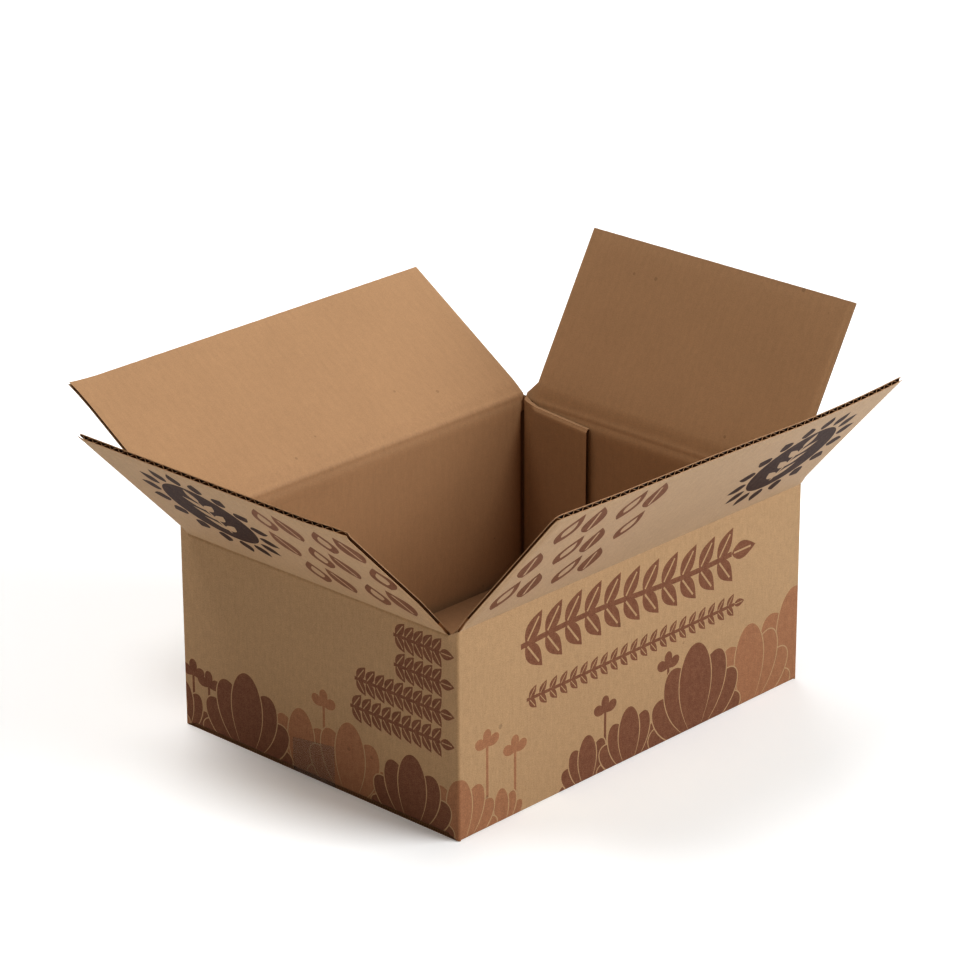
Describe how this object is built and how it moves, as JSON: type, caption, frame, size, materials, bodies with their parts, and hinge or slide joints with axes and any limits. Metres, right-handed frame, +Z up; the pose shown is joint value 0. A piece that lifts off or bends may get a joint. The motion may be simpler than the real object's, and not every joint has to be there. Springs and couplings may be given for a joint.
{
  "type": "corrugated box",
  "caption": "Slotted corrugated shipping box with a taped bottom, standing open with its hinged top flaps folded out.",
  "frame": {"origin": "middle of the underside, on the plane that the box stands on", "axes": "+Z up, +X along the long walls towards the end wall with the glue tab, +Y from the front wall to the back wall"},
  "size_m": [0.4585, 0.4114, 0.2384],
  "materials": {
    "kraft_board": "matte kraft liner",
    "clear_tape": "clear packing tape"
  },
  "bodies": {
    "box": {"box_body": "kraft_board", "bottom_tape": "clear_tape"},
    "front_flap": {"front_flap": "kraft_board"},
    "back_flap": {"back_flap": "kraft_board"},
    "left_flap": {"left_flap": "kraft_board"},
    "right_flap": {"right_flap": "kraft_board"}
  },
  "joints": [
    {"name": "front_crease", "type": "hinge", "parent": "box", "child": "front_flap", "pos_m": [0, -0.1183, 0.1349], "axis": [1, 0, 0], "range_deg": [-130, 125]},
    {"name": "back_crease", "type": "hinge", "parent": "box", "child": "back_flap", "pos_m": [0, 0.1183, 0.1349], "axis": [-1, 0, 0], "range_deg": [-147, 108]},
    {"name": "left_crease", "type": "hinge", "parent": "box", "child": "left_flap", "pos_m": [-0.1563, 0, 0.1308], "axis": [0, -1, 0], "range_deg": [-134, 121]},
    {"name": "right_crease", "type": "hinge", "parent": "box", "child": "right_flap", "pos_m": [0.1563, 0, 0.1308], "axis": [0, 1, 0], "range_deg": [-120, 135]}
  ]
}
